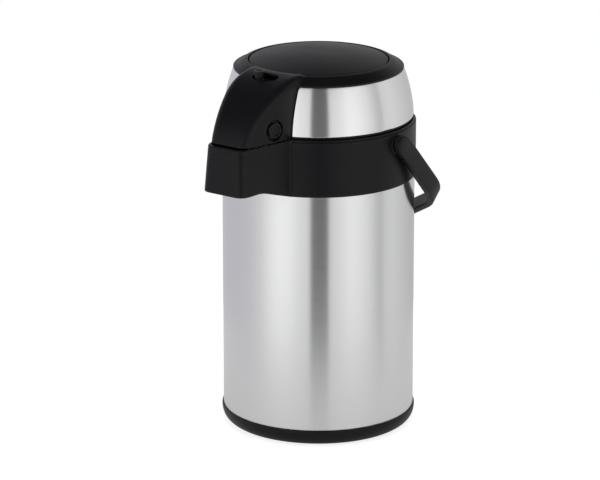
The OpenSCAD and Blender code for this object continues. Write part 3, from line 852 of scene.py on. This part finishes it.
def strap_path(side, between=5, steps=9):
    """One side of the strap from the right pivot to the left, with equal counts on both sides."""
    corners = side + [(-x, d, r) for x, d, r in reversed(side)]
    stops = []
    for i, corner in enumerate(corners):
        if 0 < i < len(corners) - 1:
            arc_points = rounded_corner(corners[i - 1], corner, corners[i + 1], steps)
        else:
            arc_points = [corner[:2]]
        if corner[2] > 0 and len(arc_points) == 1:
            arc_points = arc_points * (steps + 1)
        stops.append(arc_points)
    path = []
    for first, second in zip(stops, stops[1:]):
        path += first
        a = np.array(first[-1], float)
        b = np.array(second[0], float)
        path += [tuple(a + (b - a) * (k + 1) / (between + 1)) for k in range(between)]
    return np.array(path + stops[-1])


def make_handle():
    outer = strap_path(OUTER_SIDE)
    inner = strap_path(INNER_SIDE)
    half = strap_w / 2
    ends = [(-half * math.cos(a), half * math.sin(a)) for a in np.radians(np.linspace(4, 80, 12))]
    spine = [(outer[0] + (0, d), inner[0] + (0, d), w) for d, w in ends]
    spine += [(o, i, half) for o, i in zip(outer, inner)]
    spine += [(outer[-1] + (0, d), inner[-1] + (0, d), w) for d, w in reversed(ends)]
    down = np.array((0, math.sin(handle_lean), -math.cos(handle_lean)))
    wide = np.array((0, math.cos(handle_lean), math.sin(handle_lean)))
    rings = []
    for o, i, w in spine:
        thick = np.linalg.norm(o - i)
        ease_r = min(2.6, w * 0.8)
        section = rounded([(0, -w, 1.6), (thick / 2, -w, 0), (thick, -w, ease_r), (thick, 0, 0),
                           (thick, w, ease_r), (thick / 2, w, 0), (0, w, 1.6), (0, 0, 0)], 5)
        out = (o - i) / thick
        ring = []
        for t, b in section:
            flat = i + out * t
            ring.append(np.array((flat[0], 0, handle_z)) + down * flat[1] + wide * b)
        rings.append(ring)
    count = len(rings[0])
    points = np.array(rings).reshape(-1, 3)
    # the strap lies round the shell and the collar without touching them
    reach = np.hypot(points[:, 0], points[:, 1])
    least = np.where(points[:, 2] < collar_low - 1, shell_r + 0.6, collar_r + 0.6)
    push = np.where((reach < least) & (points[:, 2] < handle_z + 12), least / reach, 1.0)
    points[:, 0] *= push
    points[:, 1] *= push
    faces = grid_faces(len(rings), count, False, True)
    faces += [tuple(range(count)), tuple(range((len(rings) - 1) * count, len(rings) * count))]
    strap = close_up(object_from("bail", points, faces))
    for sign in (-1, 1):
        seat = lathe("seat", [(0, -8), (4.1, -8), (4.1, 0), (6.65, 0), (6.7, 1.6), (6.8, 4), (0, 4)], 64)
        carve(strap, place(seat, along((sign, 0, 0), (sign * (pin_x - 0.15), 0, handle_z))))
    strap.name = "carrying_handle"
    return fit(strap, "handle_plastic", "handle", "bail_handle", angle=40)


# ---- Lid: beak cover, band, base, button ----
def beak_field(p):
    """The beak: a curved roof that meets two flat sides in soft ridges."""
    x = np.abs(p[..., 0])
    y = p[..., 1]
    z = p[..., 2]
    forward = np.clip((arc_y - y) / arc_ry, 0, None)
    upward = np.clip((z - arc_z) / arc_rz, 0, None)
    curve = ((forward ** arc_power + upward ** arc_power) ** (1 / arc_power) - 1) * 60
    roof = np.where(y < arc_y, curve, z - roof_z)
    taper = (x - beak_tip_half) * release_out[0] + (y + 128.3) * release_out[1]
    side = soft_max(taper, x - beak_half, 2.5)
    return np.maximum(soft_max(roof, side, 7.0), y + 45)


def ring_top(r):
    t = np.clip((ring_r - r) / (ring_r - gap_r), 0, 1) ** 1.25
    return ring_z + (gap_z - ring_z) * np.sin(t * math.pi / 2)


def cover_field(p):
    r = np.hypot(p[..., 0], p[..., 1])
    z = p[..., 2]
    ring = np.maximum((z - ring_top(r)) * 0.75, r - ring_r)
    k = 0.05 + 3.4 * ease((z - 310) / 6) * (0.25 + 0.75 * ease((r - gap_r) / 6))
    return soft_min(beak_field(p), ring, k)


def make_cover_skin():
    limit = math.degrees(math.asin(beak_half / ring_r))
    """Skin of the beak and the top ring, cast outwards from a circle inside the lid."""
    front = [0, 1.2, 2.4, 3.6, 4.6, 5.4, 6.0, 6.5, 7.0, 7.5, 8.0, 8.6, 9.2, 10]
    front += list(np.arange(10.8, 20, 0.8)) + [20.0, 20.4, 20.8, 21.2, 21.6, 22.0, 22.4]
    rear = list(np.arange(23.2, 34, 0.7)) + list(np.linspace(34.5, 180, 98))
    inside = [-a for a in reversed(front[1:])] + front
    around = [limit] + rear + [360 - a for a in reversed(rear[:-1])] + [360 - limit]
    angle = np.radians(np.array(inside + around))
    count = len(angle)
    lower = np.radians(np.concatenate([[0, 0.35, 0.9], np.linspace(1.6, 70, 66)]))
    upper = np.radians(np.linspace(71.0, 87.35, 20))
    out = np.stack([np.sin(angle), -np.cos(angle)], -1)
    start = np.column_stack([out * 58.0, np.full(count, collar_high + seam_gap)])
    rows = []
    for lift in np.concatenate([lower, upper]):
        ray = np.column_stack([out * math.cos(lift), np.full(count, math.sin(lift))])
        rows.append(reach_surface(cover_field, start, ray, 110))
    rows[0] = rows[0] - np.column_stack([out, np.zeros(count)]) * 0.55
    top = rows[-1][:, 2]
    for wider, drop in ((0.25, 0.08), (0.06, 0.3), (0, 0.7), (0, 4.0), (0, 12.0), (0, 25.0)):
        rows.append(np.column_stack([out * (gap_r + wider), top - drop]))
    keep = []
    for face in grid_faces(len(rows), count, False, True):
        row, col = divmod(face[0], count)
        if row >= len(lower) or col < len(inside) or col == count - 1:
            keep.append(face)
    skin = object_from("cover_skin", rows, keep)
    with edited(skin) as work:
        bmesh.ops.delete(work, geom=[v for v in work.verts if not v.link_faces], context="VERTS")
        bmesh.ops.recalc_face_normals(work, faces=work.faces)
    return thicken(turn_outwards(skin), 1.8)


def stadium(half, r, steps=12):
    """A slot's outline on the beak's roof: two half circles, half apart from the slider's middle."""
    outline = arc(half, 0, r, -90, 90, steps) + arc(-half, 0, r, 90, 270, steps)
    return [(x, y + lock_y) for x, y in outline]


def release_matrix(depth=0.0):
    return along(release_out, Vector(release_place) + release_out * depth)


def screw_posts(outline):
    """Posts for the six screws of the lid's floor, all from one outline."""
    turns = [math.radians(30 + 60 * k) for k in range(6)]
    return [shift(lathe("post", outline, 32), -screw_circle * math.sin(a), screw_circle * math.cos(a), 0)
            for a in turns]


def make_lid_cover():
    skin = make_cover_skin()
    for side in (1, -1):
        boss = lathe("boss", rounded([(0, -9), (9.4, -9, 0.5), (9.4, -1.0), (0, -1.0)]), 64)
        rim = [(pocket_r + r, z) for r, z in ((0, -0.7), (0.15, -0.3), (0.5, 0.05), (1.2, 0.5), (1.2, 4))]
        hollow = [(0, -12), (5.4, -12), (5.4, -pocket_deep), (pocket_r, -pocket_deep)] + rim + [(0, 4)]
        pocket = lathe("pocket", hollow, 72)
        place(boss, release_matrix())
        place(pocket, release_matrix())
        if side < 0:
            mirror(boss)
            mirror(pocket)
        carve(skin, boss, "UNION")
        carve(skin, pocket)
    carve(skin, prism("plate", stadium(slot_half, slot_r + 2.2), lock_floor - 2.6, lock_floor - 0.2), "UNION")
    carve(skin, prism("slot", stadium(slot_half, slot_r), lock_floor, 330))
    carve(skin, prism("slit", stadium(slot_half + 5.4, 1.5, 8), lock_floor - 4, lock_floor + 1))
    foot_outline = [(70.0, 305.5, 0.3), (71.9, 305.5, 0.3), (71.95, 311), (72.4, ring_z + 0.3), (70, 313)]
    foot = lathe("ring_foot", rounded(foot_outline), 200)
    carve(foot, block("front", -beak_half, beak_half, -90, -50, 300, 320))
    posts = screw_posts(rounded([(1.5, 297.2), (3.8, 297.2, 0.4), (3.8, 313), (1.5, 313)]))
    cover = join("beak_and_lid_cover", [skin, foot] + posts)
    return fit(cover, "black_plastic", "lid", "lid_cover", angle=38)


def barrel_r(z):
    return band_foot_r - 8.8 * ((z - band_low) / (band_high - band_low)) ** 1.75


def make_band():
    """The polished-edge band: a barrel of sheet whose four edges roll inwards."""
    roll = 1.3
    corner = 3.6
    z0 = band_low
    z1 = band_high
    rolled = roll * (1 - np.cos(np.radians([0, 18, 36, 54, 72])))
    heights = np.concatenate([z0 + rolled, np.linspace(z0 + roll, z1 - roll, 22), z1 - rolled[::-1]])
    along_edge = np.concatenate([rolled, [roll, 2, 3, 4.5, 6.5]])
    rows = []
    for z in heights:
        r = float(barrel_r(z))
        cut = beak_half + band_gap
        for edge in (z0 + corner, z1 - corner):
            past = (edge - z) if edge < (z0 + z1) / 2 else (z - edge)
            size = corner if edge > (z0 + z1) / 2 else corner * 0.35
            past = past if size == corner else past - (corner - size)
            if past > 0:
                cut = beak_half + band_gap + size - math.sqrt(max(size ** 2 - past ** 2, 0))
        near = [math.asin((cut + s) / r) for s in along_edge]
        middle = np.linspace(near[-1], 2 * math.pi - near[-1], 200)[1:-1]
        angles = near + list(middle) + [2 * math.pi - a for a in reversed(near)]
        row = []
        for a in angles:
            side = r * abs(math.sin(a)) - cut if math.cos(a) > 0 else 99.0
            border = min(side, z - z0, z1 - z)
            inward = roll - math.sqrt(max(roll ** 2 - max(roll - border, 0) ** 2, 0))
            row.append(((r - inward) * math.sin(a), -(r - inward) * math.cos(a), z))
        rows.append(row)
    band = object_from("band", rows, grid_faces(len(rows), len(rows[0])))
    thicken(turn_outwards(band), 0.8)
    carve(band, block("notch", -hinge_gap, hinge_gap, 60, 100, z0 - 2, z0 + 4))
    band.name = "brushed_steel_band"
    return fit(band, "brushed_band", "lid", "steel_band", angle=50)


def make_lid_base():
    """Floor of the lid with raised rings, a wall inside the band and the hinge knuckle."""
    z = low("lid_base")[2]
    rim_z = collar_high + 0.75
    outline = rounded([
        (10, z, 0.4), (48, z, 0.3), (49, z + 0.7, 0.3), (60, z + 0.7, 0.3), (61, z, 0.3), (77.4, z, 0.3),
        (78.6, z + 1.2, 0.3), (78.6, rim_z, 0.1), (80, rim_z, 0.3), (80, 271.9, 0.3), (78.6, 272.1, 0.1),
        (78.6, 282, 0.4), (76.4, 282, 0.4), (76.4, z + 2.4, 0.8), (10, z + 2.4, 0.4)])
    base = lathe("lid_floor", outline, 200)
    carve(base, block("mouth", -beak_half - 0.1, beak_half + 0.1, -140, -52, 200, 330))
    knuckle_outline = [(1.55, -hinge_half, 0.3), (4.5, -hinge_half, 0.6), (4.5, hinge_half, 0.6),
                       (1.55, hinge_half, 0.3)]
    knuckle = lathe("knuckle", rounded(knuckle_outline), 48)
    place(knuckle, along((1, 0, 0), (0, hinge_y, hinge_z)))
    tongue_low = collar_high + 0.7
    tongue = block("tongue", -hinge_half, hinge_half, 76, hinge_y - 1.4, tongue_low, tongue_low + 4, 0.5)
    posts = screw_posts(rounded([(1.6, z), (4, z), (4, 297, 0.4), (1.6, 297, 0.2)]))
    floor = join("lid_floor_moulding", [base, knuckle, tongue] + posts)
    return fit(floor, "black_plastic", "lid", "lid_base", angle=38)


def dome_z(r):
    edge = gap_z - 0.4
    return edge + (crown_z - edge) * (1 - (r / button_r) ** 2)


def make_button():
    radii = [0] + list(np.linspace(7, button_r - 1.2, 26))
    outline = [(r, dome_z(r)) for r in radii]
    for inset, drop in ((0.75, 0.12), (0.35, 0.42)):
        outline.append((button_r - inset, dome_z(button_r - inset) - drop))
    skirt = [(0.1, gap_z - 1.3), (0, gap_z - 2.0), (0, 300.4), (0.4, 300), (1.4, 300), (1.8, 300.4)]
    skirt.append((1.8, gap_z - 4))
    outline += [(button_r - inset, z) for inset, z in skirt]
    outline += [(r, dome_z(r) - 2.4) for r in np.linspace(button_r - 5, 13, 8)]
    outline += [(12, dome_z(12) - 2.4), (12, gap_z - 3.5), (0, gap_z - 3.5)]
    return fit(lathe("press_button", outline, 220), "button_plastic", "button", "pump_button")


def make_lock_knob():
    top = high("lock_slider")[2] + 1.2
    outline = rounded([(0, lock_floor + 0.4), (5.0, lock_floor + 0.4, 0.2), (5.0, lock_floor + 1.3, 0.3),
                       (4.2, lock_floor + 1.5, 0.2), (4.2, top, 0.8), (3.0, top, 0.3), (2.6, top - 0.5, 0.3),
                       (0, top - 0.5)])
    knob = lathe("knob", outline, 56)
    for y0, y1 in ((1.3, 12), (-12, -1.3)):
        trim = block("trim", -10, 10, y0, y1, lock_floor, lock_floor + 1.5)
        ring = [(r, lock_floor + z) for r, z in ((4.2, -1), (9, -1), (9, 1.6), (4.2, 1.6))]
        carve(trim, lathe("keep", ring, 48), "INTERSECT")
        carve(knob, trim)
    stem = block("stem", -1.2, 1.2, -1, 1, low("lock_slider")[2], lock_floor + 0.8, 0.2)
    knob = join("lock_knob", [knob, stem])
    shift(knob, lock_x, lock_y, 0)
    return fit(knob, "knob_plastic", "lock", "lock_slider")


def make_release_buttons():
    """The round release button with its catch, and its twin on the other side."""
    outline = rounded([(3.2, -11), (5, -11, 0.3), (5, -4), (release_r, -4, 0.3), (release_r, 1.3, 0.5),
                       (release_r - 1.1, 1.3, 0.4), (release_r - 1.8, -0.2, 0.4), (0, -0.5), (0, -4),
                       (3.2, -4)])
    cup = lathe("cup", outline, 56)
    notch = block("notch", -1.6, 1.6, 2.6, 8, -0.45, 3)
    place(notch, Matrix.Rotation(math.radians(70), 4, "Z"))
    carve(cup, notch)
    dimple = [(0, -1.2), (2.3, -1.2), (2.3, 0.2, 0.5), (1.5, 0.2, 0.3), (1.1, -0.3, 0.2), (0, -0.3)]
    rib = lathe("finger_dimple", rounded(dimple), 40)
    shift(rib, 0.9, 1.0, 0)
    catch = block("catch", -4, 17, -4, 4, -13, -10.8, 0.4)
    button = join("release_button_cap_right", [cup, rib, catch])
    place(button, release_matrix())
    left = mirrored(button, "release_button_cap_left")
    fit(button, "knob_plastic", "release_right", "release_button_right")
    fit(left, "knob_plastic", "release_left", "release_button_left")


def make_bellows():
    z0 = low("bellows")[2]
    z1 = high("bellows")[2]
    steps = 96
    outer = []
    inner = []
    for k in range(steps + 1):
        z = z0 + (z1 - z0) * k / steps
        wave = 0.5 - 0.5 * math.cos(2 * math.pi * 6 * k / steps)
        swell = wave ** 0.8
        outer.append((39 + 6 * swell, z))
        inner.append((37.8 + 6 * swell, z))
    bellows = lathe("pump_bellows", outer + inner[::-1], 120)
    fit(bellows, "silicone", "lid", "bellows", angle=60)
    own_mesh(bellows)


def make_springs():
    z0 = low("pump_spring")[2]
    z1 = high("pump_spring")[2]
    wire = 0.9
    spring = object_from("pump_return_spring", [(0, 0, 0)], [])
    height = z1 - z0 - 2 * wire
    grow(spring, wire_coil, "screw_steel", Turns=6.0, Radius=24 * MM, Height=height * MM, Wire=wire * MM)
    shift(spring, 0, 0, z0 + wire)
    close_up(spring)
    fit(spring, "screw_steel", "lid", "pump_spring", angle=60)
    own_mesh(spring)
    for side, label in ((1, "right"), (-1, "left")):
        coil = object_from(f"release_return_spring_{label}", [(0, 0, 0)], [])
        grow(coil, wire_coil, "screw_steel", Turns=4.0, Radius=2.2 * MM, Height=9.0 * MM, Wire=0.4 * MM)
        place(coil, release_matrix(-13.4))
        out = Vector(release_out)
        if side < 0:
            mirror(coil)
            out.x = -out.x
        close_up(coil)
        fit(coil, "screw_steel", "lid", f"release_spring_{label}", angle=60)
        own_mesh(coil)


# ---- Floor, light and camera ----
view_turn = math.radians(37)
view_drop = math.radians(16.86)
camera_reach = 3.28
camera_high = 1.1535
side_step = 0.0158
lens_mm = 239.54
floor_r = 340.0
floor_white = 0.82
floor_glow = 0.32


def make_camera():
    data = bpy.data.cameras.new("camera")
    data.lens = lens_mm
    data.sensor_width = 36.0
    camera = add_object("camera", data)
    right = Vector((math.cos(view_turn), math.sin(view_turn), 0))
    spot = Vector((camera_reach * math.sin(view_turn), -camera_reach * math.cos(view_turn), camera_high))
    camera.location = spot - right * side_step
    camera.rotation_euler = (math.pi / 2 - view_drop, 0, view_turn)
    bpy.context.scene.camera = camera


def make_floor():
    """A pale disc that lights the object a little and looks white to the camera."""
    floor = prism("floor", arc(0, 0, floor_r, 0, 354, 59), -4, 0)
    made, tree, shader, coords = new_material("pale_floor")
    tone = map_range(tree, noise(tree, coords, 8.0), 0.3, 0.7)
    seen = node(tree, "ShaderNodeLightPath").outputs["Is Camera Ray"]
    feed(tree, shader, Base_Color=tint(tree, tone, (0.60, 0.60, 0.60), (0.62, 0.62, 0.62)), Roughness=0.9,
         Specular_IOR_Level=0.0, Emission_Color=(1.0, 1.0, 1.0, 1.0),
         Emission_Strength=map_range(tree, seen, 0.0, 1.0, floor_glow, floor_white))
    floor.data.materials.append(made)


def ramp(tree, value, stops):
    """A colour ramp from stops of (place, level, share of blue)."""
    made = node(tree, "ShaderNodeValToRGB", value)
    elements = made.color_ramp.elements
    elements.remove(elements[-1])
    for k, (at, level, blue) in enumerate(stops):
        stop = elements[0] if k == 0 else elements.new(at)
        stop.position = at
        stop.color = (level, level, level * blue, 1.0)
    return made.outputs[0]


def make_world():
    """A white studio: bright all round at table height, two wide lights in front with a gap between them."""
    world = bpy.data.worlds.new("studio")
    bpy.context.scene.world = world
    world.use_nodes = True
    tree = world.node_tree
    direction = node(tree, "ShaderNodeTexCoord").outputs["Generated"]
    turned = node(tree, "ShaderNodeVectorRotate", rotation_type="Z_AXIS", in_Vector=direction,
                  in_Angle=-view_turn)
    x, y, z = node(tree, "ShaderNodeSeparateXYZ", turned.outputs[0]).outputs
    bearing = math_node(tree, "ARCTAN2", x, times(tree, y, -1.0))
    sides = [(degrees / 360 + 0.5, level, 1.07 if degrees < -80 else 1.0) for degrees, level in AROUND]
    heights = [(height / 2 + 0.5, level, 1.0) for height, level in UPWARDS]
    ring = ramp(tree, map_range(tree, bearing, -math.pi, math.pi), sides)
    rise = ramp(tree, map_range(tree, z, -1.0, 1.0), heights)
    lit = tint(tree, 1.0, ring, rise, "MULTIPLY")
    seen = node(tree, "ShaderNodeLightPath").outputs["Is Camera Ray"]
    feed(tree, tree.nodes["Background"], Color=tint(tree, seen, lit, (1.0, 1.0, 1.0)))


# Brightness round the object in degrees from the camera, and from straight down (-1) to straight up (1)
AROUND = [(-180, 0.56), (-110, 0.58), (-90, 0.62), (-74, 0.74), (-60, 0.97), (-48, 1.08), (-36, 1.05),
          (-22, 0.86), (-10.5, 0.82), (-9, 0.15), (11, 0.15), (12.5, 0.76), (24, 0.84), (38, 1.0), (50, 0.95),
          (64, 0.80), (78, 0.55), (82, 0.54), (86, 0.70), (100, 0.73), (125, 0.62), (150, 0.53), (180, 0.56)]
UPWARDS = [(-1.0, 1.0), (0.1, 1.0), (0.48, 1.0), (0.54, 0.5), (0.62, 0.12), (1.0, 0.04)]


def make_lights():
    """One soft light overhead for the floor, kept out of the reflections."""
    data = bpy.data.lights.new("overhead_softbox", "AREA")
    data.shape = "SQUARE"
    data.size = 1.6
    data.energy = 13.0
    lamp = add_object("overhead_softbox", data)
    lamp.location = (0.1, -0.2, 1.7)
    lamp.rotation_euler = (math.radians(-6), 0, 0)
    lamp.visible_glossy = False
    lamp.visible_camera = False


# ---- Build ----
bpy.context.scene.view_settings.view_transform = "Standard"
finish_frame_nodes()
make_camera()
make_floor()
make_world()
make_lights()

make_base_pad()
make_turntable()
make_foot_ring()
make_shell()
make_collar()
make_pins()
make_nozzle()
make_handle()
make_lid_cover()
make_band()
make_lid_base()
make_button()
make_lock_knob()
make_release_buttons()
make_bellows()
make_springs()
make_all_screws()
